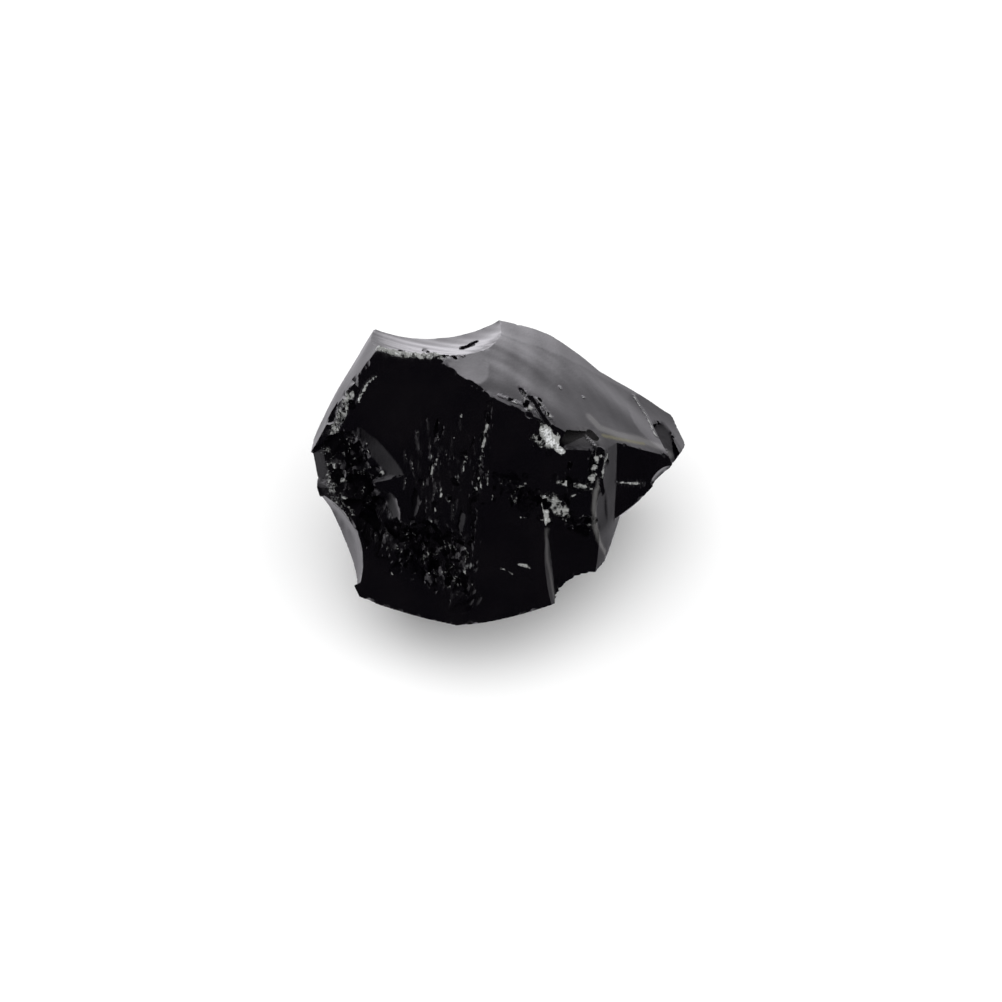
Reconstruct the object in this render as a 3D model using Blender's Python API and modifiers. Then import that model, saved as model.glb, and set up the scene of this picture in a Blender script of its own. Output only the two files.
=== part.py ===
"""Obsidian chunk: one broken lump of black volcanic glass, 35 mm wide, lying on a table.

Metres, +Z up, the table at z = 0 and the origin under the middle of the chunk. +X is its long way and
the broad black face looks towards -Y and upwards.

Glass breaks in shells. Each fracture starts at the point that was struck and spreads as part of a large
ball: it leaves a hollow where a flake came away and a swell where the chunk itself was the flake. So every
face here is part of a ball through three corners, turned as a cutter round the line through its strike
point, and the ridges are where two such balls meet. The chunk is two lumps that share their faces, a body
and a wing at the right-hand end, with smaller scars taken out of both once they are joined.
"""

import math

import bmesh
import bpy
from mathutils import Matrix, Vector

MM = 0.001

# Driving dimensions, in millimetres and degrees.
HEART = Vector((-0.04, 0.88, 10.5))  # the middle of the chunk, from which corners are measured
FACE_LOOKS_UP = math.radians(50)  # how far above level the broad face looks
ROUGH_RADIUS = 26.0  # the lump before any face is broken from it
RING_STEP = 1.2  # from one ring of a cutter to the next
RING_SIDES = 40
CUTTER_REACH = 34.0  # a full face runs right across the chunk
CUTTER_TOP = 45.0
BALL_SHARE = 0.92  # a cutter stops short of the equator of its own ball

ACROSS = Vector((1, 0, 0))
UP = Vector((0, math.sin(FACE_LOOKS_UP), math.cos(FACE_LOOKS_UP)))
OUT = Vector((0, -math.cos(FACE_LOOKS_UP), math.sin(FACE_LOOKS_UP)))


def spot(across, up, out):
    """The point this far across, up and out from the heart, as the broad face is seen from in front."""
    return HEART + ACROSS * across + UP * up + OUT * out


def table(x, y):
    """A point of the resting face, measured from under the heart."""
    return Vector((HEART.x + x, HEART.y + y, 0))


def collection(name):
    made = bpy.data.collections.new(name)
    bpy.context.scene.collection.children.link(made)
    return made


class Break:
    """One fracture: the ball it is part of, and the turned cutter that takes away what lies beyond it."""

    def __init__(self, name, strike, outward, radius, reach):
        self.strike, self.outward = strike, outward.normalized()
        self.radius, self.hollow = abs(radius), radius > 0
        self.centre = strike + self.outward * radius
        self.reach = min(reach, BALL_SHARE * self.radius)
        self.cutter = self.turned(name)

    def at(self, across, up):
        """The point of this face that lies straight behind the given place on the broad face."""
        start = spot(across, up, 0)
        along = (self.centre - start).dot(OUT)
        off_axis = (self.centre - start - OUT * along).length_squared
        depth = math.sqrt(self.radius**2 - off_axis)
        return start + OUT * (along - depth if self.hollow else along + depth)

    def height(self, r):
        sag = self.radius - math.sqrt(self.radius**2 - r * r)
        return sag if self.hollow else -sag

    def turned(self, name):
        """The cutter, from a half section that runs out along its top, down its side and in along the break."""
        rings = max(4, round(self.reach / RING_STEP))
        section = [(0.0, CUTTER_TOP), (self.reach, CUTTER_TOP)]
        for k in range(rings, -1, -1):
            r = self.reach * k / rings
            section.append((r, self.height(r)))
        mesh = bpy.data.meshes.new(name)
        mesh.from_pydata(
            [(r * MM, 0, z * MM) for r, z in section],
            [(i, i + 1) for i in range(len(section) - 1)],
            [],
        )
        cutter = bpy.data.objects.new(name, mesh)
        turn = cutter.modifiers.new("turn", "SCREW")
        turn.steps = turn.render_steps = RING_SIDES
        turn.use_merge_vertices = True
        turn.merge_threshold = 1e-7
        facing = self.outward.to_track_quat("Z", "Y").to_matrix().to_4x4()
        cutter.matrix_world = Matrix.Translation(self.strike * MM) @ facing
        helper(cutter)
        return cutter


def helper(made):
    """Keeps a cutter or a lump that is joined to another out of the part itself."""
    cutters.objects.link(made)
    made.hide_render = True
    made.display_type = "WIRE"


def face(name, strike, second, third, radius):
    """A full face through three corners. The first is where it was struck; a negative radius is a swell."""
    ab, ac = second - strike, third - strike
    normal = ab.cross(ac)
    middle = strike + (
        ac.length_squared * normal.cross(ab) + ab.length_squared * ac.cross(normal)
    ) / (2 * normal.length_squared)
    normal.normalize()
    if normal.dot(strike - HEART) < 0:
        normal.negate()
    rise = math.sqrt(radius**2 - (middle - strike).length_squared)
    centre = middle + normal * math.copysign(rise, radius)
    return Break(name, strike, (centre - strike) / radius, radius, CUTTER_REACH)


def scar(name, strike, facing, radius, reach):
    """A small break round one point, facing across, up and out by these shares."""
    return Break(name, strike, ACROSS * facing[0] + UP * facing[1] + OUT * facing[2], radius, reach)


def rough_lump(name):
    ball = bmesh.new()
    bmesh.ops.create_icosphere(
        ball, subdivisions=3, radius=ROUGH_RADIUS * MM, matrix=Matrix.Translation(HEART * MM)
    )
    mesh = bpy.data.meshes.new(name)
    ball.to_mesh(mesh)
    ball.free()
    return bpy.data.objects.new(name, mesh)


def boolean(target, operation, other):
    step = target.modifiers.new(other.name, "BOOLEAN")
    step.operation = operation
    step.solver = "EXACT"
    step.object = other


def take(target, *breaks):
    for one in breaks:
        boolean(target, "DIFFERENCE", one.cutter)


for old in list(bpy.data.objects):
    bpy.data.objects.remove(old)
chunk_pieces = collection("obsidian chunk")
cutters = collection("cutters")

# The broad face: two wide faces that look the same way but for a few degrees and meet in a faint ridge
# from the crown down to the foot.
crown = spot(-0.7, 6.9, 8.6)
foot = spot(-3.0, -14.3, 6.6)
broad_right = face("broad_face_right", crown, foot, spot(4.7, -12.1, 5.6), -90)
broad_left = face("broad_face_left", crown, foot, spot(-11.8, 11.0, 5.0), -140)

# The roof: one long face that falls away behind the broad face, from the brow to the lip of the wing.
brow = broad_left.at(-5.4, 10.5)
lip = spot(15.9, 1.4, 0.0)
roof = face("roof", crown, brow, lip, -100)
top_peak = roof.at(0.2, 14.3)
crest_end = roof.at(4.3, 13.1)

# The brow: a small deep shell between the two peaks, and the steep cheek down the left of it.
left_peak = spot(-11.6, 13.4, -2.4)
brow_shell = face("brow_shell", broad_left.at(-8.7, 11.1), left_peak, top_peak, 11.5)
cheek = face("cheek", broad_left.at(-12.1, 10.2), broad_left.at(-15.7, 4.7), left_peak, -60)
left_end = cheek.at(-17.4, 2.5)

# The wing: its own front, the small facet at its tip, and the side of the body that stands up beside it.
wing_foot = spot(11.1, -4.3, 2.6)
wing_front = face("wing_front", roof.at(11.2, 2.6), lip, wing_foot, -50)
wing_tip = spot(17.6, 2.4, -4.0)
tip_facet = face("tip_facet", roof.at(15.9, 1.6), roof.at(12.9, 7.3), wing_tip, 70)
hip = face("hip", broad_right.at(9.8, 2.0), broad_right.at(9.4, -3.2), wing_front.at(11.0, -0.8), -60)

# Behind, from the rim of the roof down to the table.
tip_corner = tip_facet.at(16.3, 5.2)
roof_corner = roof.at(9.5, 9.5)
back_left = face("back_left", left_end, left_peak, table(-10, 6), 60)
back = face("back", top_peak, crest_end, table(-4, 11), 90)
back_right = face("back_right", crest_end, roof_corner, table(6, 10), -25)
back_wing = face("back_wing", roof_corner, tip_corner, table(11, 6), -90)
back_tip = face("back_tip", tip_corner, tip_facet.at(17.6, 2.4), table(11, 3), -30)

# Below, cut back from the rim of the broad face to the resting face.
chin = face("chin", broad_left.at(-4.5, -14.4), broad_right.at(2.1, -13.3), table(0, -7.5), -40)
jaw = face("jaw", broad_left.at(-7.3, -13.6), broad_left.at(-12.4, -11.8), table(-6, -6), -40)
under_left = face("under_left", spot(-17.0, -1.5, 1.6), left_end, table(-10, 2), -40)
under_heel = face("under_heel", spot(-15.2, -4.6, 1.6), spot(-12.8, -11.3, 3.2), table(-9.5, -3), -60)
under_hip = face("under_hip", spot(11.0, -5.5, 2.6), spot(10.0, -7.9, 3.6), table(8.5, -1), -30)
under_tip = face("under_tip", tip_facet.at(17.5, 1.9), wing_front.at(16.1, 0.2), table(9.5, 2.5), 200)
under_wing = face("under_wing", wing_front.at(16.0, 0.2), wing_front.at(13.3, -2.7), table(9, 2), -30)
under_foot = face("under_foot", wing_front.at(13.3, -2.7), wing_foot, table(8.5, 2), -30)

# Scars: smaller flakes that came off the finished faces.
chin_bite = face("chin_bite", spot(10.0, -8.7, 3.6), broad_right.at(4.7, -12.2), table(5, -2), 8)
low_scar = scar("low_scar", spot(10.7, -8.3, 3.6), (0.31, -0.27, 0.91), 40, 5.9)
flute = scar("flute", spot(-13.5, -6.0, 2.4), (-0.87, -0.34, 0.35), 8, 4.5)
left_scar = scar("left_scar", spot(-13.4, 0.3, 3.1), (-0.36, 0.02, 0.93), 9.5, 4.9)
heel_scar = scar("heel_scar", spot(-11.8, -3.9, 4.1), (-0.2, -0.1, 0.97), 5, 2.9)
shoulder_chip = scar("shoulder_chip", spot(6.5, 3.1, 6.4), (0.3, 0.36, 0.88), 10, 3.5)
tip_notch = scar("tip_notch", spot(15.1, 0.1, 0.5), (0.66, -0.75, 0.1), 3, 1.4)
back_shell = scar("back_shell", spot(-4.0, 5.5, -7.5), (-0.2, 0.6, -0.77), 12, 7.5)
chin_scar = scar("chin_scar", spot(-1.0, -13.5, 2.0), (0.1, -0.95, -0.3), 10, 4.0)

shared = (broad_right, broad_left, roof, brow_shell, cheek)
shared += (back_left, back, chin, jaw, under_left, under_heel)
chunk = rough_lump("obsidian_chunk")
chunk_pieces.objects.link(chunk)
wing = rough_lump("wing")
helper(wing)
take(chunk, *shared, back_right, hip, under_hip)
take(wing, *shared, back_wing, wing_front, tip_facet, back_tip, under_tip, under_wing, under_foot)
boolean(chunk, "UNION", wing)
take(chunk, chin_bite, low_scar, flute, left_scar, heel_scar, shoulder_chip, tip_notch, back_shell, chin_scar)

# The resting face: the chunk lies on the flat break across its underside.
below = bmesh.new()
bmesh.ops.create_cube(below, size=2 * CUTTER_TOP * MM, matrix=Matrix.Translation((0, 0, -CUTTER_TOP * MM)))
below_mesh = bpy.data.meshes.new("below_the_table")
below.to_mesh(below_mesh)
below.free()
below_the_table = bpy.data.objects.new("below_the_table", below_mesh)
helper(below_the_table)
boolean(chunk, "DIFFERENCE", below_the_table)

# Black volcanic glass: almost no colour of its own, with a wet shine.
obsidian = bpy.data.materials.new("obsidian")
obsidian.use_nodes = True
surface = obsidian.node_tree.nodes["Principled BSDF"]
surface.inputs["Base Color"].default_value = (0.012, 0.011, 0.013, 1)
surface.inputs["Roughness"].default_value = 0.12
surface.inputs["IOR"].default_value = 1.5
chunk.data.materials.append(obsidian)
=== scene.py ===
import math

import bpy
import numpy as np
from mathutils import Matrix, Vector


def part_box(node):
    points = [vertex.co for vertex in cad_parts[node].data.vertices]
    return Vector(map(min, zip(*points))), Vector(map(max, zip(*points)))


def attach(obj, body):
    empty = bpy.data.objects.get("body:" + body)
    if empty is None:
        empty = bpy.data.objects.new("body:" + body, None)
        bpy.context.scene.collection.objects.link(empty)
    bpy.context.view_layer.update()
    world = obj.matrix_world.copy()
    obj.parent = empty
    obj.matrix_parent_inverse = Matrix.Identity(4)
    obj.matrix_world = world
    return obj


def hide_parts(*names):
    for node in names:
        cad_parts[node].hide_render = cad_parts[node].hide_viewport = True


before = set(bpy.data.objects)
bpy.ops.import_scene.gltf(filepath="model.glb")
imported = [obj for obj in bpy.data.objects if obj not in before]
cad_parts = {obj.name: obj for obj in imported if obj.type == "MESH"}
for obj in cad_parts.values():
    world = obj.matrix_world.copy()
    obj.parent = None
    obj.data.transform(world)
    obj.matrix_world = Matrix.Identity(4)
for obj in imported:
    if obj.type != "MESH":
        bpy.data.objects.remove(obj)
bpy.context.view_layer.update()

# ------------------------------------------------------------------------------------------------------------
# The chunk: one lump of black volcanic glass, 35 mm wide, knocked off a larger one with a hammer. Each face
# is a shell-like break that spread from the point that was struck, so it is part of a large ball, with faint
# ripples round that point. Small flakes came off its ridges, and it is crushed white where the blows fell.
# ------------------------------------------------------------------------------------------------------------
MM = 0.001
CELL_NEAR, CELL_FAR = 0.155, 0.30  # the facets of the mesh in mm: small on the broad face, larger on the back
CELL_ACROSS = 0.165
PROBE = 0.004  # how far apart the skin is felt for its slope
RIDGE_ROUND = 0.02
SHARP_FROM = math.radians(24)
RIPPLES_CROWD = 0.02  # how much closer together the ripples of a break get with each mm from where it was hit
RIPPLES_FADE = 9  # the mm over which they fade
HEART = np.array((-0.04, 0.88, 10.5))  # the middle of the chunk, from which corners are measured
FACE_LOOKS_UP = math.radians(50)  # how far above level the broad face looks
ACROSS = np.array((1.0, 0, 0))
UP = np.array((0, math.sin(FACE_LOOKS_UP), math.cos(FACE_LOOKS_UP)))
OUT = np.array((0, -math.cos(FACE_LOOKS_UP), math.sin(FACE_LOOKS_UP)))
chance = np.random.default_rng(7)


def spot(across, up, out):
    """The point this far across, up and out from the heart, as the broad face is seen from in front."""
    return HEART + ACROSS * across + UP * up + OUT * out


def table(x, y):
    """A point of the resting face, measured from under the heart."""
    return np.array((HEART[0] + x, HEART[1] + y, 0))


def unit(v):
    return v / np.linalg.norm(v)


class Break:
    """One fracture: a ball, hollow where a flake came away from the chunk, or a swell. Its ripples run round
    the place that was hit, which is the strike moved across, up and out by from_rim."""

    def __init__(self, strike, outward, radius, reach=None, ripple=0.0, spacing=2.0, from_rim=(0, 0, 0)):
        self.strike, self.outward = strike, unit(outward)
        self.radius, self.hollow = abs(radius), radius > 0
        self.centre = strike + self.outward * radius
        self.edge = Funnel(strike, self.outward, reach) if reach else None
        self.ripple, self.spacing = ripple, spacing
        self.hit = strike + ACROSS * from_rim[0] + UP * from_rim[1] + OUT * from_rim[2]

    def beyond(self, points):
        """How far each point lies on the broken-away side, in mm."""
        away = np.sqrt(((points - self.centre) ** 2).sum(-1))
        past = self.radius - away if self.hollow else away - self.radius
        if self.ripple:
            run = np.sqrt(((points - self.hit) ** 2).sum(-1))
            turns = run / self.spacing + RIPPLES_CROWD * run * run
            past = past + self.ripple * np.sin(2 * np.pi * turns) * np.exp(-run / RIPPLES_FADE)
        return np.minimum(past, self.edge.beyond(points)) if self.edge else past

    def facing(self, point):
        return unit(point - self.centre) * (-1 if self.hollow else 1)

    def nearest(self, point):
        return self.centre + unit(point - self.centre) * self.radius

    def at(self, across, up):
        """The point of this face that lies straight behind the given place on the broad face."""
        start = spot(across, up, 0)
        along = (self.centre - start) @ OUT
        depth = math.sqrt(self.radius**2 - ((self.centre - start - OUT * along) ** 2).sum())
        return start + OUT * (along - depth if self.hollow else along + depth)


class Funnel:
    """The steep rim round a scar, this wide at the centre's height and wider above by the flare."""

    def __init__(self, centre, axis, reach, flare=0.0):
        self.centre, self.axis, self.reach, self.flare = centre, unit(axis), reach, flare

    def beyond(self, points):
        step = points - self.centre
        along = step @ self.axis
        off = np.sqrt(((step - along[..., None] * self.axis) ** 2).sum(-1))
        return (self.reach + self.flare * along - off) / math.sqrt(1 + self.flare**2)


class Meeting:
    """A scar made of breaks that met: only what lies beyond every one of them is gone."""

    def __init__(self, *breaks):
        self.breaks = breaks

    def beyond(self, points):
        past = self.breaks[0].beyond(points)
        for one in self.breaks[1:]:
            past = np.minimum(past, one.beyond(points))
        return past


def face(strike, second, third, radius, **finish):
    """A full face through three corners. The first is where it was struck; a negative radius is a swell."""
    ab, ac = second - strike, third - strike
    normal = np.cross(ab, ac)
    inward = (ac @ ac) * np.cross(normal, ab) + (ab @ ab) * np.cross(ac, normal)
    middle = strike + inward / (2 * normal @ normal)
    normal = unit(normal)
    if normal @ (strike - HEART) < 0:
        normal = -normal
    rise = math.sqrt(radius**2 - (middle - strike) @ (middle - strike))
    centre = middle + normal * math.copysign(rise, radius)
    return Break(strike, (centre - strike) / radius, radius, **finish)


def scar(strike, facing, radius, reach=None, **finish):
    return Break(strike, ACROSS * facing[0] + UP * facing[1] + OUT * facing[2], radius, reach, **finish)


crown = spot(-0.7, 6.9, 8.6)
foot = spot(-3.0, -14.3, 6.6)
broad_right = face(crown, foot, spot(4.7, -12.1, 5.6), -90, ripple=0.03, spacing=3.1)
broad_left = face(crown, foot, spot(-11.8, 11.0, 5.0), -140, ripple=0.03, spacing=2.3)
brow = broad_left.at(-5.4, 10.5)
lip = spot(15.9, 1.4, 0.0)
roof = face(crown, brow, lip, -100, ripple=0.012, spacing=4)
top_peak = roof.at(0.2, 14.3)
crest_end = roof.at(4.3, 13.1)
left_peak = spot(-11.6, 13.4, -2.4)
brow_shell = face(broad_left.at(-8.7, 11.1), left_peak, top_peak, 11.5, ripple=0.04, spacing=1.6)
cheek = face(broad_left.at(-12.1, 10.2), broad_left.at(-15.7, 4.7), left_peak, -60)
left_end = cheek.at(-17.4, 2.5)
wing_foot = spot(11.1, -4.3, 2.6)
wing_front = face(roof.at(11.2, 2.6), lip, wing_foot, -50)
wing_tip = spot(17.6, 2.4, -4.0)
tip_facet = face(roof.at(15.9, 1.6), roof.at(12.9, 7.3), wing_tip, 70)
hip = face(broad_right.at(9.8, 2.0), broad_right.at(9.4, -3.2), wing_front.at(11.0, -0.8), -60)
tip_corner = tip_facet.at(16.3, 5.2)
roof_corner = roof.at(9.5, 9.5)
back_left = face(left_end, left_peak, table(-10, 6), 60, ripple=0.012, spacing=2.6)
back = face(top_peak, crest_end, table(-4, 11), 90, ripple=0.012, spacing=3)
back_right = face(crest_end, roof_corner, table(6, 10), -25)
back_wing = face(roof_corner, tip_corner, table(11, 6), -90)
back_tip = face(tip_corner, tip_facet.at(17.6, 2.4), table(11, 3), -30)
chin = face(broad_left.at(-4.5, -14.4), broad_right.at(2.1, -13.3), table(0, -7.5), -40)
jaw = face(broad_left.at(-7.3, -13.6), broad_left.at(-12.4, -11.8), table(-6, -6), -40)
under_left = face(spot(-17.0, -1.5, 1.6), left_end, table(-10, 2), -40)
under_heel = face(spot(-15.2, -4.6, 1.6), spot(-12.8, -11.3, 3.2), table(-9.5, -3), -60)
under_hip = face(spot(11.0, -5.5, 2.6), spot(10.0, -7.9, 3.6), table(8.5, -1), -30)
under_tip = face(tip_facet.at(17.5, 1.9), wing_front.at(16.1, 0.2), table(9.5, 2.5), 200)
under_wing = face(wing_front.at(16.0, 0.2), wing_front.at(13.3, -2.7), table(9, 2), -30)
under_foot = face(wing_front.at(13.3, -2.7), wing_foot, table(8.5, 2), -30)
shared = (
    broad_right, broad_left, roof, brow_shell, cheek, back_left, back, chin, jaw, under_left, under_heel,
)
body_only = (back_right, hip, under_hip)
wing_only = (back_wing, wing_front, tip_facet, back_tip, under_tip, under_wing, under_foot)
scars = [
    # the bite under the chin
    face(spot(10.0, -8.7, 3.4), spot(5.0, -11.8, 4.7), table(5, -2), 8),
    # the step low on the right
    Meeting(
        scar(spot(7.0, -8.5, 4.64), (0.274, -0.208, 0.939), 14),
        Funnel(spot(29.6, -10.5, 5.3), OUT, 24.6, 0.65),
    ),
    # the flute low on the left
    scar(spot(-13.5, -6.0, 2.4), (-0.87, -0.34, 0.35), 8, 4.5, ripple=0.012, spacing=1.2),
    # the hollow at the left end, with its facets
    Meeting(
        scar(spot(-14.0, 0.5, 3.75), (-0.40, 0.0, 0.917), -22),
        scar(broad_left.at(-10.0, 1.6), (-0.52, -0.215, 0.827), 60),
        scar(broad_left.at(-12.8, 4.2), (0.12, -0.86, 0.50), 60),
        scar(broad_left.at(-9.6, -0.7), (-0.40, 0.60, 0.69), 60),
    ),
    # the small hollow at the heel
    scar(spot(-11.8, -3.9, 4.1), (-0.2, -0.1, 0.97), 5, 2.9),
    # the notch under the wing tip
    scar(spot(15.1, 0.1, 0.5), (0.66, -0.75, 0.1), 3, 1.4),
    # the shell on the back
    scar(spot(-4.0, 5.5, -7.5), (-0.2, 0.6, -0.77), 12, 7.5, ripple=0.02, spacing=2.1, from_rim=(3, 5, 3)),
    # the shell under the chin
    scar(
        spot(-1.0, -13.5, 2.0), (0.1, -0.95, -0.3), 10, 4.0, ripple=0.03, spacing=1.3, from_rim=(0, 1, 4),
    ),
    # the bevel along the top of the roof
    face(roof.at(0.0, 13.0), roof.at(13.2, 7.0), spot(5.8, 12.0, -5.2), -95),
    # the small facet at the roof's near corner
    Meeting(scar(spot(-2.6, 9.0, 7.0), (0.34, 0.78, 0.53), 60), Funnel(spot(-2.7, 8.9, 6), OUT, 3.0)),
    # the wedge at the roof's foot
    Meeting(
        scar(spot(7.2, 2.06, 6.65), (0.20, 0.691, 0.695), -200),
        scar(spot(7.2, 3.8, 5), (-0.10, -1, 0), 60),
        scar(spot(5.9, 3, 6), (1, -0.5, 0), 60),
        scar(spot(9.5, 3, 6), (-1, -0.2, 0), 60),
    ),
    # the four-sided dent in the wing tip
    Meeting(
        scar(spot(15.8, 3.3, -3.75), (0.40, 0.63, 0.665), 60),
        scar(spot(15.2, 4.5, -4), (0.2, -0.98, 0), 60),
        scar(spot(14.95, 3.3, -4), (0.92, 0.39, 0), 60),
        scar(spot(16.4, 3.1, -4), (-0.91, -0.41, 0), 60),
    ),
    # the blade beside the hip: a curved wall, then a dark floor
    Meeting(
        scar(spot(9.6, -3.6, 4.75), (0.66, -0.24, 0.71), 30),
        Funnel(spot(17.9, -3.8, 3.5), ACROSS * 0.25 - UP * 0.2 + OUT * 0.95, 9.2, 1.1),
    ),
]
flakes = []  # (start, end, radius) of each small hollow, a ball drawn along a line
bruises_and_glints = []  # (start, end, width, strength) of each place painted white: those crushed by a blow, and painted glints where the stone would catch the light
streaked = []  # the same, of each place torn in fine streaks
lit_rims = []  # the same, of each rim painted grey: a painted highlight where it catches the light, over the smoky tint of glass thin enough to let light through
olive_rims = []  # and of the thinnest part of it


def most(breaks, points):
    past = breaks[0].beyond(points)
    for one in breaks[1:]:
        np.maximum(past, one.beyond(points), out=past)
    return past


def whole(points):
    """How far outside the chunk each point is before the small flakes came off, in mm; negative inside it."""
    past = np.minimum(most(body_only, points), most(wing_only, points))
    past = np.maximum(past, most(shared, points))
    return np.maximum(np.maximum(past, most(scars, points)), -points[:, 2])


LOOK_FROM, LOOK_STEP = 12, 0.03  # how far out from the heart the look for the skin begins, and its steps
FEEL = 0.01  # how far apart a found point is felt for its slope


def touch(across, up):
    """The point of the skin straight behind a place on the broad face, and the way the skin faces there."""
    depths = np.arange(LOOK_FROM, -LOOK_FROM, -LOOK_STEP)
    points = spot(across, up, 0) + depths[:, None] * OUT
    point = points[np.argmax(whole(points) < 0)]
    felt = whole(np.concatenate([point + FEEL * np.eye(3), point - FEEL * np.eye(3)]))
    return point, unit(felt[:3] - felt[3:])


def from_line(points, start, end):
    """How far each point is from a short line."""
    way = end - start
    share = np.clip((points - start) @ way / max(way @ way, 1e-9), 0, 1)
    return np.sqrt(((points - start - share[:, None] * way) ** 2).sum(1))


SPLINTERS_END, SPLINTERS_FADE = 1.2, 0.35  # in widths of their line: where splinters end and how they fade
SPLINTERS_DEEPEST = 1.5  # the farthest from the skin that one reaches, in mm
SPLINTERS_FLAT = 0.15  # the slope of those that hardly tilt, as a share of the others'


class Shatter:
    """A place where the glass came away in many small flat splinters, each tilted its own way."""

    def __init__(self, route, width, size, steep, stretch=1.0, share=1.0):
        self.legs = [(touch(*a)[0], touch(*b)[0]) for a, b in zip(route, route[1:])]
        self.width, self.stretch = width, stretch
        length = sum(np.linalg.norm(b - a) for a, b in self.legs)
        count = int(2 * width * (length + width) / (size * size * stretch))
        seeds, tilts, depths = [], [], []
        for _ in range(count):
            leg = chance.integers(len(route) - 1)
            along, stray = 1.2 * chance.random() - 0.1, width * (2 * chance.random(2) - 1)
            place = np.array(route[leg]) * (1 - along) + np.array(route[leg + 1]) * along + stray
            point, facing = touch(*place)
            turn, slope = 2 * np.pi * chance.random(), steep * (0.3 + 0.7 * chance.random())
            if chance.random() > share:
                slope *= SPLINTERS_FLAT
            tilt = ACROSS * math.cos(turn) + UP * math.sin(turn) / stretch
            tilt = tilt - facing * (tilt @ facing)
            seeds.append(point)
            tilts.append(tilt * slope)
            depths.append(slope * size * (0.35 + 0.4 * chance.random()))
        self.seeds, self.tilts, self.depths = np.array(seeds), np.array(tilts), np.array(depths)

    def squeezed(self, points):
        return points - (1 - 1 / self.stretch) * (points @ UP)[..., None] * UP

    def roughen(self, points, past):
        near = np.full(len(points), np.inf)
        ready = np.abs(past) < SPLINTERS_DEEPEST
        for a, b in self.legs:
            near[ready] = np.minimum(near[ready], from_line(points[ready], a, b) / self.width)
        inside = np.nonzero(near < SPLINTERS_END)[0]
        if not len(inside):
            return
        here = points[inside]
        squeezed, seeds = self.squeezed(here), self.squeezed(self.seeds)
        apart = (squeezed**2).sum(1)[:, None] - 2 * squeezed @ seeds.T + (seeds**2).sum(1)
        own = np.argmin(apart, axis=1)
        lift = self.depths[own] + (self.tilts[own] * (here - self.seeds[own])).sum(1)
        past[inside] += np.maximum(lift, 0) * np.clip((SPLINTERS_END - near[inside]) / SPLINTERS_FADE, 0, 1)


def chip(point, outward, radius, depth, run=(0, 0, 0)):
    """Takes one small flake, this deep, out of the face at a point; the run draws it out along the face."""
    outward, run = unit(outward), np.array(run)
    centre = point + outward * (radius - depth)
    flakes.append((centre, centre + run - outward * (run @ outward), radius))


RIDGE_TRIES = 12  # how often a point is put on one face and then the other, to bring it to their ridge


def nibble(one, other, start, end, count, largest, depth=0.35):
    """Flakes broken from the ridge between two faces, on the way from one place to another."""
    for _ in range(count):
        point = start + (end - start) * chance.random() + 0.1 * chance.normal(size=3)
        for _ in range(RIDGE_TRIES):
            point = other.nearest(one.nearest(point))
        radius = largest * (0.25 + 0.75 * chance.random() ** 2)
        lean = one.facing(point) + other.facing(point) + 0.6 * chance.normal(size=3)
        cut = radius * depth * (0.5 + chance.random())
        chip(point, lean, radius, cut, 0.5 * radius * chance.normal(size=3))


def gouge(route, radius, depth):
    """A groove in the skin through places given across and up."""
    found = [touch(*place) for place in route]
    ends = [point + facing * (radius - depth) for point, facing in found]
    for a, b in zip(ends, ends[1:]):
        flakes.append((a, b, radius))


def bruise_and_glint(route, width, strength, count=0, largest=0.4):
    """Paints white along places given across and up, with as many tiny flakes as the count asks: glass
    crushed white by a blow, and painted glints where the stone catches the light.
    """
    found = [touch(*place)[0] for place in route]
    for a, b in zip(found, found[1:]):
        bruises_and_glints.append((a, b, width, strength))
    for _ in range(count):
        leg = chance.integers(len(route) - 1)
        share, stray = chance.random(), width * 0.5 * chance.normal(size=2)
        place = np.array(route[leg]) * (1 - share) + np.array(route[leg + 1]) * share + stray
        point, facing = touch(*place)
        radius = largest * (0.3 + 0.7 * chance.random())
        lean = facing + 0.8 * chance.normal(size=3)
        chip(point, lean, radius, radius * (0.2 + 0.35 * chance.random()), radius * chance.normal(size=3))


# The ridges, battered all round.
nibble(roof, broad_left, brow, crown, 26, 0.7)
nibble(roof, broad_right, crown, roof.at(3.3, 5.4), 12, 0.5)
nibble(brow_shell, broad_left, broad_left.at(-11, 11.2), broad_left.at(-5, 11), 16, 0.5, 0.3)
nibble(cheek, broad_left, broad_left.at(-12.1, 10.2), broad_left.at(-15.2, 5), 26, 0.6)
nibble(wing_front, roof, roof.at(11.4, 2.6), lip, 14, 0.4)
nibble(tip_facet, roof, tip_facet.at(13.2, 6.8), tip_facet.at(15.9, 1.8), 12, 0.3)
nibble(hip, broad_right, hip.at(9.8, 2), hip.at(9.4, -8), 14, 0.4)
nibble(broad_left, broad_right, crown, foot, 50, 0.35, 0.3)
nibble(broad_left, jaw, broad_left.at(-12, -12), broad_left.at(-5, -14.2), 14, 0.4)
nibble(broad_right, chin, broad_right.at(-3, -14.2), broad_right.at(4.4, -12.6), 10, 0.35)
nibble(broad_left, under_left, spot(-16.8, 2, 2), spot(-16.6, -1.5, 2), 8, 0.3)
nibble(wing_front, under_wing, wing_front.at(15.6, -0.2), wing_front.at(13, -3), 8, 0.5)
nibble(roof, back, top_peak, crest_end, 6, 0.3)
nibble(roof, back_right, crest_end, roof_corner, 6, 0.25)
nibble(roof, back_wing, roof_corner, roof.at(12.7, 7.6), 5, 0.25)
nibble(back, back_left, left_peak, table(-6, 9), 16, 1.6, 0.08)
nibble(back, back_right, crest_end, table(3, 11), 14, 1.4, 0.1)
nibble(back_left, under_left, left_end, table(-10, 4), 14, 1.4, 0.12)
nibble(back_wing, back_tip, tip_corner, table(11, 5), 10, 0.7)
nibble(chin, jaw, spot(-5, -14.2, 4), table(-3, -6.5), 14, 1.2, 0.12)
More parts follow.
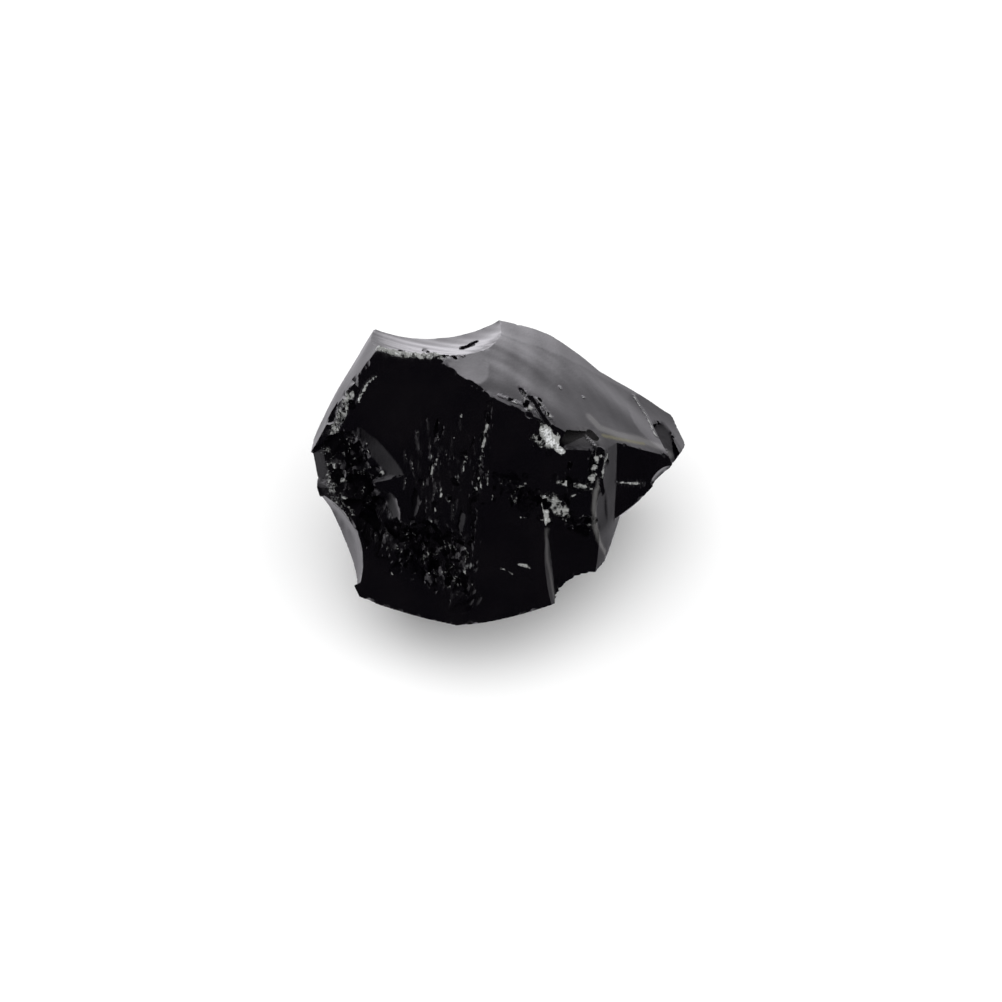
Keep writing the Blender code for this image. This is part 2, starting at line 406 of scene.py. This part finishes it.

# The rims painted grey, as a painted highlight where they catch the light over the smoky tint of glass thin
# enough to let light through: the crescent under the roof and its olive middle, the wedge at the roof's foot,
# the blade beside the hip and the edge of the step. The olive is the colour of the thinnest glass.
for rims, width, strength, route in (
    (lit_rims, 0.5, 0.7, [(8.6, 5.0), (9.5, 4.0), (11.3, 3.4), (13.2, 3.0), (14.7, 2.4), (15.9, 1.6)]),
    (olive_rims, 0.24, 0.7, [(9.8, 3.3), (11.2, 3.0), (12.6, 2.75), (13.6, 2.6)]),
    (lit_rims, 1.0, 0.22, [(6.4, 3.2), (9.0, 3.2)]),
    (lit_rims, 0.24, 0.9, [(9.5, -0.8), (9.05, -2.0), (8.9, -3.6), (9.05, -5.2), (9.4, -6.6), (9.9, -7.6)]),
    (lit_rims, 0.22, 0.4, [(4.55, -5.5), (4.65, -8.3), (4.95, -10.0), (5.25, -11.9)]),
):
    found = [touch(*place)[0] for place in route]
    rims += [(a, b, width, strength) for a, b in zip(found, found[1:])]

# A few single flakes and grooves, and white marks: two of them are painted glints.
chip(touch(8.6, 3.5)[0], OUT + UP * 0.2, 0.4, 0.25, ACROSS * 0.4 - UP * 0.5)
bruise_and_glint([(8.0, 3.5), (9.0, 2.3)], 0.2, 0.55)
# Painted glints: a lens and an arc painted white on the broad face.
bruise_and_glint([(1.9, -8.65), (2.9, -8.95)], 0.26, 0.85)
bruise_and_glint([(0.3, -9.1), (1.0, -9.3), (1.6, -9.8)], 0.16, 0.75)
gouge([(-3.2, 11.6), (-2.6, 11.8)], 0.5, 0.35)
gouge([(-2.6, 11.9), (-2.1, 12.2)], 0.36, 0.28)
gouge([(9.6, -0.5), (9.75, -2.0)], 0.35, 0.25)

# Where the blows fell, with painted glints among them, each marked where it stands. The first line breaks
# small flakes from the brow; its white line lies on the ridge.
bruise_and_glint([(-11.4, 11.05), (-8.5, 11.15), (-5.6, 10.65), (-3.2, 10.5)], 0.5, 0.0, 30, 0.3)
brow_line = []
BROW_STEPS, BROW_TRIES = 9, 20
for across in np.linspace(-11.3, -3.4, BROW_STEPS):
    point = broad_left.at(across, 11.0)
    for _ in range(BROW_TRIES):
        point = brow_shell.nearest(broad_left.nearest(point))
    brow_line.append(brow_shell.nearest(point + UP * 0.22 - OUT * 0.6))
bruises_and_glints.extend((a, b, 0.8, 1.0) for a, b in zip(brow_line, brow_line[1:]))
bruise_and_glint([(0.2, 7.0), (2.8, 5.9), (4.3, 4.0)], 0.24, 0.65, 4, 0.3)
bruise_and_glint([(2.3, 7.3), (2.6, 6.3), (4.4, 3.9)], 0.35, 0.7, 8, 0.4)
bruise_and_glint([(3.6, 6.6), (4.8, 5.0), (5.6, 3.1)], 0.25, 0.85, 5, 0.3)
gouge([(3.0, 6.7), (3.9, 5.3), (4.7, 4.1)], 0.35, 0.14)
bruise_and_glint([(3.4, 3.1), (4.6, 2.2)], 0.55, 0.75, 14, 0.4)
bruise_and_glint([(4.4, 3.7), (5.0, 2.7)], 0.7, 1.4, 3, 0.3)
bruise_and_glint([(5.0, 2.7), (5.9, 1.8)], 0.42, 1.4, 2, 0.3)
bruise_and_glint([(2.3, -3.0), (3.2, -2.4), (4.7, -2.4)], 0.3, 0.8, 14, 0.35)
bruise_and_glint([(2.0, -4.3), (4.3, -4.6)], 0.18, 0.7, 6, 0.25)
bruise_and_glint([(4.3, -2.4), (4.6, -4.8)], 0.38, 1.0, 12, 0.35)
bruise_and_glint([(4.9, -2.6), (6.1, -3.8)], 0.8, 0.85, 10, 0.3)
bruise_and_glint([(5.9, -2.7), (7.2, -2.2)], 0.2, 0.7, 6, 0.25)
bruise_and_glint([(6.1, -4.4), (7.0, -5.2), (7.9, -5.7)], 0.28, 0.8, 12, 0.35)
bruise_and_glint([(7.7, -4.4), (8.6, -5.3)], 0.5, 0.6, 12, 0.35)
bruise_and_glint([(5.7, -1.1), (7.0, -1.3), (8.6, -1.6)], 0.35, 0.9, 16, 0.35)
bruise_and_glint([(6.6, 0.9), (6.5, -1.2)], 0.2, 0.55, 8, 0.3)
bruise_and_glint([(9.5, 1.8), (9.0, 0.2), (8.6, -1.2)], 0.5, 0.85, 16, 0.4)
bruise_and_glint([(10.2, 1.4), (9.7, -0.6)], 0.35, 0.8, 8, 0.3)
bruise_and_glint([(5.0, -0.6), (5.2, -1.0)], 0.45, 0.6, 4, 0.3)
bruise_and_glint([(0.2, -0.8), (2.2, -1.4), (1.4, -2.6)], 0.8, 0.45, 24, 0.35)
bruise_and_glint([(-13.9, 7.0), (-14.5, 5.3), (-15.3, 3.6)], 0.7, 0.75, 8, 0.4)
# The next three lines are painted highlights: a curved glint high on the left of the broad face, the light
# ridge at the wing tip and a thin light line across the wing's front.
bruise_and_glint([(-11.4, 8.7), (-12.1, 8.2), (-12.6, 7.3), (-13.0, 6.5)], 0.2, 0.9)
bruise_and_glint([(12.8, 7.1), (14.0, 5.2), (14.7, 3.4), (15.8, 1.8)], 0.19, 0.9)
bruise_and_glint([(11.0, -1.05), (13.6, -1.2)], 0.2, 0.85)
bruise_and_glint([(-15.5, 2.9), (-14.4, 1.4)], 0.5, 0.6, 8, 0.4)
bruise_and_glint([(-15.2, -0.6), (-14.0, -1.2), (-13.0, -2.4)], 0.45, 0.7, 20, 0.4)
bruise_and_glint([(-13.2, -0.4), (-10.8, -0.2)], 0.4, 0.6, 16, 0.4)
bruise_and_glint([(-13.6, 1.4), (-12.4, 1.6)], 0.5, 0.5, 10, 0.4)
bruise_and_glint([(-12.6, -3.4), (-10.6, -5.6)], 0.9, 0.4, 6, 0.5)
bruise_and_glint([(-10.4, -6.2), (-6.5, -8.2), (-3.4, -10.8)], 1.7, 0.45, 30, 0.4)
bruise_and_glint([(-8.6, -5.6), (-4.4, -7.0)], 1.1, 0.5, 12, 0.4)
bruise_and_glint([(-16.0, 1.8), (-15.4, -1.5), (-14.0, -4.0)], 0.9, 0.66)
bruise_and_glint([(-14.6, 2.6), (-12.6, -1.0), (-11.6, -4.6)], 1.3, 0.5)
# Painted glints: the dotted light line down the ridge between the two halves of the broad face.
bruise_and_glint([(-0.7, 6.4), (-1.9, -0.9)], 0.24, 0.75)
bruise_and_glint([(-3.0, -7.0), (-3.1, -12.8)], 0.25, 0.6)
splinters = [
    Shatter([(-14.4, 1.8), (-13.6, -0.6), (-11.6, -4.6)], 1.7, 0.95, 1.2, 1.0, 0.8),
    Shatter([(-10.4, -6.4), (-6.5, -8.4), (-3.6, -11.0)], 1.9, 0.6, 1.3, 1.3, 0.8),
    Shatter([(-8.8, -5.4), (-4.4, -6.8)], 1.2, 0.6, 1.3, 1.0, 0.8),
    Shatter([(-5.4, 2.6), (-4.6, -4.6)], 3.2, 0.42, 1.0, 3.0, 0.12),
    Shatter([(-0.8, 6.2), (-1.9, -0.9), (-3.1, -12.6)], 0.3, 0.4, 0.9, 2.0),
    Shatter([(2.6, -2.6), (6.0, -3.6)], 1.0, 0.4, 0.9),
    Shatter([(0.8, -1.0), (1.6, -2.6)], 1.0, 0.45, 0.8, 1.5, 0.6),
    Shatter([(6.4, -4.6), (8.6, -5.2)], 0.9, 0.5, 0.8, 1.0, 0.7),
    Shatter([(9.4, 1.6), (8.8, -1.0)], 0.6, 0.45, 0.8, 1.5),
    Shatter([(-13.4, 8.2), (-15.4, 4.6)], 0.8, 0.6, 0.7, 1.6, 0.8),
]
# Painted glints: bright dots painted white on the broad face, each with a few small real flakes.
for place in (
    (-2.1, -1.6), (-3.0, -7.6), (-3.2, -9.7), (-3.2, 1.5), (-3.9, -0.8), (-7.0, -1.1), (-4.6, -2.6),
    (-5.9, -3.5), (-6.2, -4.6), (-9.1, -7.3), (-7.5, -6.9), (-6.4, -6.3), (-9.9, -9.4), (-0.5, -2.4),
):
    bruise_and_glint([place, (place[0] + 0.05, place[1] - 0.15)], 0.22, 0.9, 3, 0.25)
bruise_and_glint([(5.8, 7.8), (5.85, 7.7)], 0.16, 0.9)
bruise_and_glint([(8.0, 6.9), (8.05, 6.8)], 0.16, 0.9)
# Painted glints: short white dashes on the broad face and in the rough places, standing for small facets that
# catch the light.
UPRIGHT = 1.57
for middle, spread, tall, count in (
    ((-6.6, -8.2), (2.4, 1.8), 0.5, 60),
    ((-4.8, 0.5), (2.6, 3.6), 1.2, 40),
    ((-13.4, 0.2), (1.6, 2.2), 0.6, 24),
    ((-10.8, -4.6), (0.8, 1.4), 0.6, 12),
):
    for _ in range(count):
        place = np.array(middle) + np.array(spread) * chance.normal(size=2) * 0.7
        turn = UPRIGHT + (0.12 if tall > 1 else 0.9) * chance.normal()
        end = place + tall * (0.3 + chance.random()) * np.array((math.cos(turn), math.sin(turn)))
        bruise_and_glint([place, end], 0.12 + 0.06 * chance.random(), 0.4 + 0.45 * chance.random())
streaked.append((broad_left.at(-5.4, 2.5), broad_left.at(-4.2, -6.5), 3.6, 0.9))
streaked.append((broad_left.at(-1.0, 6.4), broad_left.at(-3.0, -12.5), 0.9, 1.0))
streaked.append((broad_right.at(1.5, -0.5), broad_right.at(1.0, -4.5), 1.8, 0.5))

# No break is quite even: long low waves, each with its own way, height and lag, run through the whole skin.
UNEVEN = [
    (unit(chance.normal(size=3)) * 2 * np.pi / length, height, 6 * chance.random())
    for length, height in ((11, 0.05), (8, 0.04), (6, 0.03), (4.3, 0.02), (3.1, 0.012), (2.2, 0.008))
]


def outside(points):
    """How far outside the chunk each point is, in mm; negative inside it."""
    past = whole(points)
    for wave, height, lag in UNEVEN:
        past += height * np.sin(points @ wave + lag)
    order = np.argsort(points[:, 0])
    sorted_x = points[order, 0]
    for start, end, radius in flakes:
        low_x, high_x = min(start[0], end[0]) - radius, max(start[0], end[0]) + radius
        first, last = np.searchsorted(sorted_x, (low_x, high_x))
        near = order[first:last]
        if len(near):
            past[near] = np.maximum(past[near], radius - from_line(points[near], start, end))
    for one in splinters:
        one.roughen(points, past)
    return np.maximum(past, -points[:, 2])


def rows(first, last, size_first, size_last):
    """Places from first to last along one axis, their spacing going evenly from one size to the other."""
    count = math.ceil((last - first) / (size_first + size_last) * 2)
    share = np.arange(count + 1) / count
    return first + (last - first) * share * (size_first + (size_last - size_first) * share / 2) / (
        (size_first + size_last) / 2
    )


BLOCK, BLOCK_MARGIN = 5, 1.15  # the rows that one sounding serves, and how much closer it looks than it must
BATCH = 400000  # the most places that are felt at once
HALVINGS = 6  # how often the way from inside to outside is halved to find the skin


def sounded(axes):
    """How far outside each crossing of the rows is. Far from the skin, one sounding serves a block."""
    shape = tuple(len(axis) for axis in axes)
    middles, reaches = [], []
    for axis in axes:
        first = axis[::BLOCK]
        last = np.append(axis[BLOCK::BLOCK], axis[-1])[: len(first)]
        middles.append((first + last) / 2)
        reaches.append((last - first) / 2)
    grid = np.stack(np.meshgrid(*middles, indexing="ij"), -1)
    reach = np.sqrt(sum(part**2 for part in np.meshgrid(*reaches, indexing="ij")))
    rough = outside(grid.reshape(-1, 3)).reshape(reach.shape)
    near = np.abs(rough) < reach * BLOCK_MARGIN
    past = rough
    for axis in range(3):
        past, near = np.repeat(past, BLOCK, axis), np.repeat(near, BLOCK, axis)
    crop = tuple(slice(0, count) for count in shape)
    past, near = past[crop].copy(), near[crop]
    where = np.argwhere(near)
    for batch in np.array_split(where, max(1, len(where) // BATCH)):
        places = np.stack([axes[i][batch[:, i]] for i in range(3)], 1)
        past[tuple(batch.T)] = outside(places)
    return past


def skin_of_cells(axes):
    """The surface as one point in each small cell that it passes through, on a ridge if the cell has one."""
    past = sounded(axes)
    cells = np.array(past.shape) - 1
    sides = np.eye(3, dtype=int)
    numbers, hits, normals, quads = [], [], [], []
    for axis in range(3):
        step, side_1, side_2 = sides[axis], sides[(axis + 1) % 3], sides[(axis + 2) % 3]
        here = tuple(slice(0, -1) if k == axis else slice(None) for k in range(3))
        there = tuple(slice(1, None) if k == axis else slice(None) for k in range(3))
        crossing = np.argwhere((past[here] < 0) != (past[there] < 0))
        going_out = past[tuple(crossing.T)] < 0
        start = np.stack([axes[i][crossing[:, i]] for i in range(3)], 1)
        near, far = np.zeros(len(start)), np.diff(axes[axis])[crossing[:, axis]]
        for _ in range(HALVINGS):
            half = (near + far) / 2
            same = (outside(start + half[:, None] * step) < 0) == going_out
            near, far = np.where(same, half, near), np.where(same, far, half)
        hit = start + ((near + far) / 2)[:, None] * step
        slope = np.stack([outside(hit + PROBE * side) - outside(hit - PROBE * side) for side in sides], -1)
        slope /= np.maximum(np.linalg.norm(slope, axis=1), 1e-9)[:, None]
        ring = [
            np.ravel_multi_index(tuple((crossing - shift).T), cells)
            for shift in (0 * side_1, side_1, side_1 + side_2, side_2)
        ]
        numbers += ring
        hits += [hit] * 4
        normals += [slope] * 4
        quad = np.stack(ring, 1)
        quad[~going_out] = quad[~going_out][:, ::-1]
        quads.append(quad)
    used, number = np.unique(np.concatenate(numbers), return_inverse=True)
    hit, normal = np.concatenate(hits), np.concatenate(normals)

    def gather(values):
        return np.bincount(number, values, len(used))

    share = gather(np.ones(len(number)))
    middle = np.stack([gather(hit[:, i]) for i in range(3)], 1) / share[:, None]
    square = np.stack([gather(normal[:, i] * normal[:, j]) for i in range(3) for j in range(3)], 1)
    level = (normal * (hit - middle[number])).sum(1)
    pull = np.stack([gather(normal[:, i] * level) for i in range(3)], 1)
    soften = RIDGE_ROUND * share[:, None, None] * np.eye(3)
    move = np.linalg.solve(square.reshape(-1, 3, 3) + soften, pull[..., None])[..., 0]
    index = np.stack(np.unravel_index(used, cells), 1)
    least = np.stack([axes[i][index[:, i]] for i in range(3)], 1)
    most_of_cell = np.stack([axes[i][index[:, i] + 1] for i in range(3)], 1)
    return np.clip(middle + move, least, most_of_cell), np.searchsorted(used, np.concatenate(quads))


MARK_REACH = 1.4  # how far a mark reaches, in widths of its line


def strength_of(places, points):
    """How strongly each point is marked by the nearest of these places, from 0 to 1."""
    total = np.zeros(len(points))
    for start, end, width, strength in places:
        near = np.clip(MARK_REACH - from_line(points, start, end) / width, 0, 1)
        total = np.maximum(total, strength * near * near * (3 - 2 * near))
    return total


low, high = (np.array(end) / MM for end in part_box("obsidian_chunk"))
margin = 2 * CELL_FAR
points, quads = skin_of_cells((
    rows(low[0] - margin, high[0] + margin, CELL_ACROSS, CELL_ACROSS),
    rows(low[1] - margin, high[1] + margin, CELL_NEAR, CELL_FAR),
    rows(low[2] - margin, high[2] + margin, CELL_FAR, CELL_NEAR),
))
points = np.clip(points, low, high)
stone_mesh = bpy.data.meshes.new("chunk")
stone_mesh.from_pydata(points * MM, [], quads)
stone_mesh.update()
stone_mesh.shade_smooth()
stone_mesh.set_sharp_from_angle(angle=SHARP_FROM)
marks = {"crushed_and_glints": bruises_and_glints, "streaked": streaked, "lit_rim": lit_rims, "olive": olive_rims}
for name, places in marks.items():
    marked = stone_mesh.attributes.new(name, "FLOAT", "POINT")
    marked.data.foreach_set("value", strength_of(places, points).astype(np.float32))
chunk = bpy.data.objects.new("chunk", stone_mesh)
bpy.context.scene.collection.objects.link(chunk)


class Wire:
    """One value on its way through a material; arithmetic on it adds Math nodes."""

    def __init__(self, tree, socket=None):
        self.tree, self.socket = tree, socket

    def node(self, kind, settings=None, sockets=None, out=0):
        made = self.tree.nodes.new(kind)
        for name, value in (settings or {}).items():
            setattr(made, name, value)
        for key, value in (sockets or {}).items():
            if isinstance(value, Wire):
                self.tree.links.new(value.socket, made.inputs[key])
            else:
                made.inputs[key].default_value = value
        return Wire(self.tree, made.outputs[out])

    def maths(self, operation, first, second):
        return self.node("ShaderNodeMath", {"operation": operation}, {0: first, 1: second})

    def __add__(self, other):
        return self.maths("ADD", self, other)

    __radd__ = __add__

    def __sub__(self, other):
        return self.maths("SUBTRACT", self, other)

    def __rsub__(self, other):
        return self.maths("SUBTRACT", other, self)

    def __mul__(self, other):
        return self.maths("MULTIPLY", self, other)

    __rmul__ = __mul__

    def between(self, low, high):
        """0 below low, 1 above high, and a smooth rise from one to the other."""
        sockets = {0: self, 1: low, 2: high, 3: 0.0, 4: 1.0}
        return self.node("ShaderNodeMapRange", {"interpolation_type": "SMOOTHSTEP"}, sockets)

    def along(self, direction):
        sockets = {0: self, 1: tuple(direction)}
        return self.node("ShaderNodeVectorMath", {"operation": "DOT_PRODUCT"}, sockets, out="Value")

    def noise(self, scale, detail=2.0, roughness=0.5):
        sockets = {"Vector": self, "Scale": scale, "Detail": detail, "Roughness": roughness}
        return self.node("ShaderNodeTexNoise", {}, sockets)

    def mixed(self, first, second):
        """From the first colour to the second as this value goes from 0 to 1."""
        first, second = ((*end, 1) if isinstance(end, tuple) else end for end in (first, second))
        return self.node("ShaderNodeMix", {"data_type": "RGBA"}, {0: self, 6: first, 7: second}, out=2)


GLASS_BLACK = (0.0013, 0.0010, 0.0019)
GLASS_SMOKY = (0.0025, 0.0020, 0.0029)
# the grey of crushed glass, which also paints the painted glints that are marked like bruises
POWDER_AND_GLINT_GREY = (0.33, 0.335, 0.325)
# painted highlight: the white of the glints painted on the stone
GLINT_WHITE = (0.60, 0.61, 0.62)
# painted highlight: the grey painted along the lit rims
RIM_SHEEN_GREY = (0.088, 0.086, 0.085)
RIM_OLIVE = (0.085, 0.078, 0.028)
GLASS_IOR = 1.52
TEAR_SHAPE = (2.6, 0.42, 1.4)  # tears are long up the broad face and narrow across it
RELIEF_DEPTH = 0.00011  # in metres
RELIEF_STRENGTH = 0.6

obsidian = bpy.data.materials.new("obsidian")
obsidian.use_nodes = True
tree = obsidian.node_tree
surface = tree.nodes["Principled BSDF"]
start = Wire(tree)
place = start.node("ShaderNodeTexCoord", out="Object")
own = start.node(
    "ShaderNodeCombineXYZ", {},
    {0: place.along(ACROSS / MM), 1: place.along(UP / MM), 2: place.along(OUT / MM)},
)  # the same point, in mm across, up and out
torn_way = own.node("ShaderNodeVectorMath", {"operation": "MULTIPLY"}, {0: own, 1: TEAR_SHAPE})
crushed_and_glints, streaky, lit_rim, olive = (
    start.node("ShaderNodeAttribute", {"attribute_name": name}, out="Fac")
    for name in marks
)
grains = own.noise(2.2, 6, 0.7)
clumps = own.noise(0.9, 3, 0.6)
tears = torn_way.noise(1.0, 5, 0.65)
# White where the glass is crushed, and painted glints where white marks stand for light caught by the stone.
powder_and_glints = (crushed_and_glints + (grains - 0.5) * 1.6 + (clumps - 0.5) * 1.4).between(0.62, 0.95)
# Painted glints: white flecks painted in the white-marked places, where small facets would catch the light.
painted_glints = (crushed_and_glints * 0.6 + (own.noise(4.5, 4, 0.7) - 0.5) * 2.4).between(0.72, 0.9) * crushed_and_glints
# Painted glints along the torn streaks of the broad face; the same mask also roughens them.
streak_glints = (streaky * 0.5 + (tears - 0.5) * 2.2 + (clumps - 0.5) * 1.2).between(0.80, 1.0) * streaky
loose = own.noise(3.1, 5, 0.75).between(0.70, 0.76)
flow = own.noise(0.16, 4, 0.6)
tint = flow.between(0.35, 0.7).mixed(GLASS_BLACK, GLASS_SMOKY)
# Painted highlight: grey lines along the lit rims, with the olive of the thinnest glass on top.
tint = olive.mixed(lit_rim.mixed(tint, RIM_SHEEN_GREY), RIM_OLIVE)
tint = (powder_and_glints * 0.8).mixed(tint, POWDER_AND_GLINT_GREY)
# The painted glints are painted white over everything else.
tint = (painted_glints.maths("MAXIMUM", painted_glints, streak_glints * 0.16)).mixed(tint, GLINT_WHITE)
dull = own.noise(0.5, 5, 0.6)
roughness = 0.07 + dull * 0.10 + powder_and_glints * 0.4 + streak_glints * 0.25 + loose * 0.15
relief = dull * 0.25 + tears * (0.10 + streaky * 0.55) + grains * (0.06 + crushed_and_glints * 1.6)
bumped = relief.node(
    "ShaderNodeBump", {}, {"Height": relief, "Strength": RELIEF_STRENGTH, "Distance": RELIEF_DEPTH}
)
tree.links.new(tint.socket, surface.inputs["Base Color"])
tree.links.new(roughness.socket, surface.inputs["Roughness"])
tree.links.new(bumped.socket, surface.inputs["Normal"])
surface.inputs["IOR"].default_value = GLASS_IOR
stone_mesh.materials.append(obsidian)
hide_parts("obsidian_chunk")
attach(chunk, "root")

# ------------------------------------------------------------------------------------------------------------
# The floor: a sheet of matt white board, cut round and far larger than the chunk, which lies straight on
# it. Polished glass doesn't see it, because the white tent goes on under it.
# ------------------------------------------------------------------------------------------------------------
BOARD_RADIUS = 1.6
BOARD_CORNERS = 64
BOARD_DROP = 0.02 * MM  # how far the board lies below the chunk, so that the two don't share a plane
BOARD_WHITE = (0.93, 0.93, 0.93, 1)
board_mesh = bpy.data.meshes.new("board")
turns = [2 * math.pi * k / BOARD_CORNERS for k in range(BOARD_CORNERS)]
rim = [(BOARD_RADIUS * math.cos(turn), BOARD_RADIUS * math.sin(turn), -BOARD_DROP) for turn in turns]
board_mesh.from_pydata(rim, [], [range(BOARD_CORNERS)])
board = bpy.data.objects.new("board", board_mesh)
bpy.context.scene.collection.objects.link(board)
board.visible_glossy = False
card = bpy.data.materials.new("white_board")
card.use_nodes = True
card_surface = card.node_tree.nodes["Principled BSDF"]
card_surface.inputs["Base Color"].default_value = BOARD_WHITE
card_surface.inputs["Specular IOR Level"].default_value = 0.0
fibres = Wire(card.node_tree).node("ShaderNodeTexCoord", out="Object").noise(900, 3)
card.node_tree.links.new((0.85 + fibres * 0.1).socket, card_surface.inputs["Roughness"])
board_mesh.materials.append(card)

# ------------------------------------------------------------------------------------------------------------
# The light: a white tent all round the chunk. Its front half, towards the viewer, is hung with black cloth
# that only polished glass can see, so faces turned to the viewer stay black and the others shine.
# ------------------------------------------------------------------------------------------------------------
TENT_WHITE = 1.3
CLOTH_BLACK = 0.010
SHINE_TINT = (1.0, 0.975, 1.035)
BACK_WALL = 1.25  # the light of the tent's back wall
STRAIGHT_BEHIND, RIGHT_WALL = 0.55, 0.8  # what that light lacks in the middle and on the right
SIDE_LIGHT = 0.7
LAMP_LIGHT = 2.6
LOW_SHARE = 0.25  # what is left of the back wall's light near the floor
LAMP_WAY = unit(ACROSS * -0.15 + UP * 0.85 - OUT * 0.5)  # towards the lamp above and behind
tent = bpy.data.worlds.new("tent")
bpy.context.scene.world = tent
tent.use_nodes = True
air = tent.node_tree
air.nodes.clear()
way = Wire(air).node("ShaderNodeTexCoord", out="Generated")
behind = way.along(-OUT)
back_wall = BACK_WALL - STRAIGHT_BEHIND * behind.between(0.68, 0.92)
back_wall = back_wall - RIGHT_WALL * way.along(ACROSS).between(0.35, 0.82)
side = SIDE_LIGHT * way.along(-ACROSS).between(0.74, 0.97)
lamp = LAMP_LIGHT * way.along(LAMP_WAY).between(0.78, 0.95)
height = LOW_SHARE + (1 - LOW_SHARE) * way.along(UP).between(-0.8, -0.4)
shine = CLOTH_BLACK + behind.between(-0.10, 0.30) * back_wall * height + lamp + side
polished = way.node("ShaderNodeLightPath", out="Is Glossy Ray")
glow = polished * shine + (1 - polished) * TENT_WHITE
tone = polished.mixed((1.0, 1.0, 1.0), SHINE_TINT)
light = way.node("ShaderNodeBackground", {}, {"Color": tone, "Strength": glow})
last = air.nodes.new("ShaderNodeOutputWorld")
air.links.new(light.socket, last.inputs["Surface"])

# ------------------------------------------------------------------------------------------------------------
# The camera: far off with a long lens, square on to the broad black face.
# ------------------------------------------------------------------------------------------------------------
IMAGE_SIDE = 1002
PIXELS_PER_MM = 10.7
FAR_OFF = 1000.0
SENSOR = 36.0
NEAREST_SEEN = 0.01
camera = bpy.data.objects.new("camera", bpy.data.cameras.new("camera"))
camera.data.sensor_width = SENSOR
camera.data.lens = SENSOR * FAR_OFF / (IMAGE_SIDE / PIXELS_PER_MM)
camera.data.clip_start = NEAREST_SEEN
looks_at = spot(0.28, -2.8, 0)
turned = Matrix((ACROSS, UP, OUT)).transposed().to_4x4()
camera.matrix_world = Matrix.Translation(Vector((looks_at + OUT * FAR_OFF) * MM)) @ turned
bpy.context.scene.collection.objects.link(camera)
bpy.context.scene.camera = camera
bpy.context.scene.view_settings.view_transform = "Standard"
